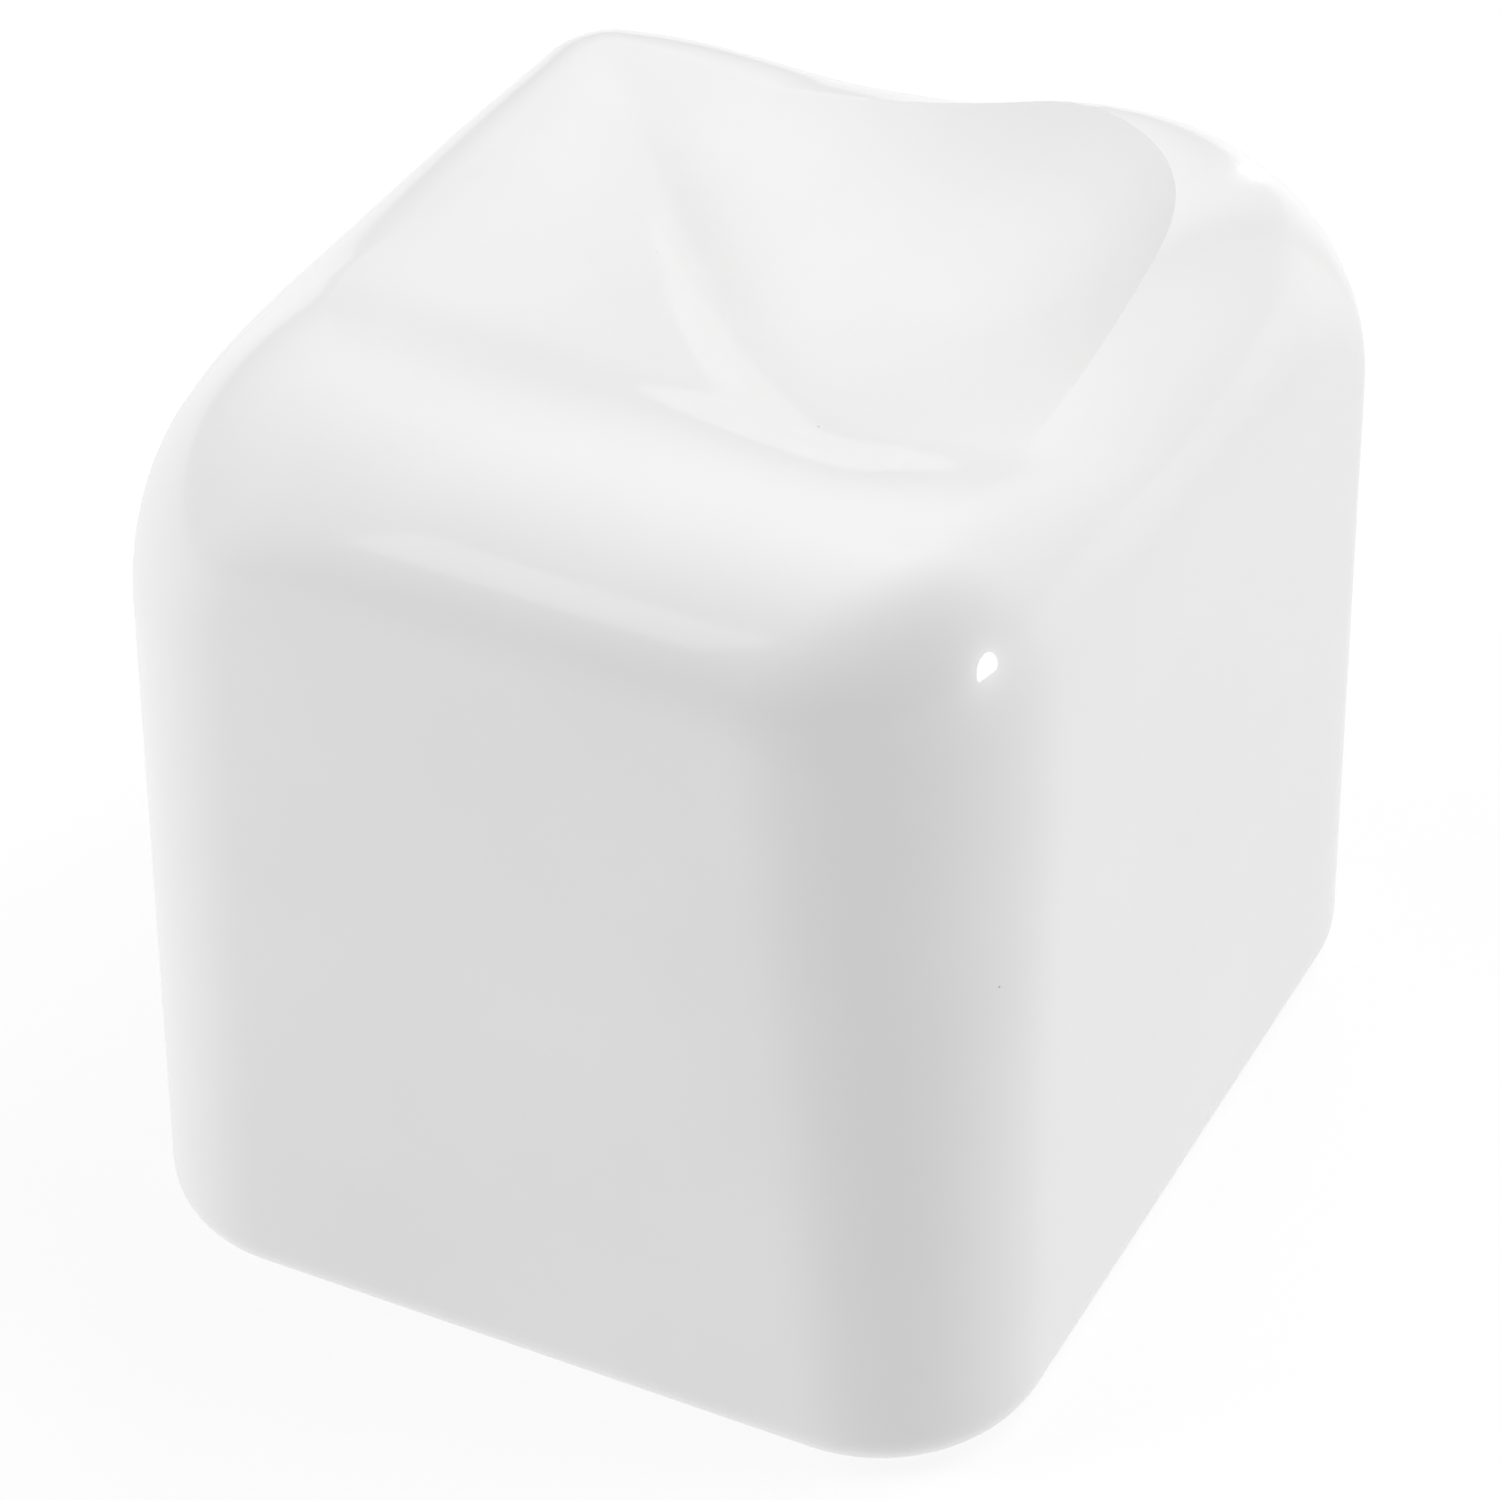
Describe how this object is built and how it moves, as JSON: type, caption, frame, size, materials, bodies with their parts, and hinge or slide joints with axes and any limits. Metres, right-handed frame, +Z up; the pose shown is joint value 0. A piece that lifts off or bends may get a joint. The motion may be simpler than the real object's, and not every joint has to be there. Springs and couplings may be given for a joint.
{
  "type": "raised pavement marker",
  "caption": "Tall rounded block marker for a road surface, with a dished glossy top, an adhesive pad and a threaded anchor socket underneath.",
  "frame": {"origin": "centre of the underside, on the road surface", "axes": "+X across the block, +Y towards its back, +Z up from the road"},
  "size_m": [0.1, 0.1114, 0.1052],
  "materials": {
    "shell_white": "gloss",
    "core_grey": "matte",
    "elastomer": "matte",
    "plate_white": "satin",
    "insert_brass": "machined",
    "zinc_steel": "zinc plated",
    "butyl": "tacky matte"
  },
  "bodies": {
    "root": {"head_shell": "shell_white", "core_block": "core_grey", "roof_cushion": "elastomer", "base_plate": "plate_white", "base_gasket": "elastomer", "boss_inserts": "insert_brass", "base_screws": "zinc_steel", "anchor_socket": "zinc_steel", "tie_rod": "zinc_steel", "tie_rod_washer": "zinc_steel", "tie_rod_nut": "zinc_steel", "butyl_pad": "butyl"}
  },
  "joints": []
}
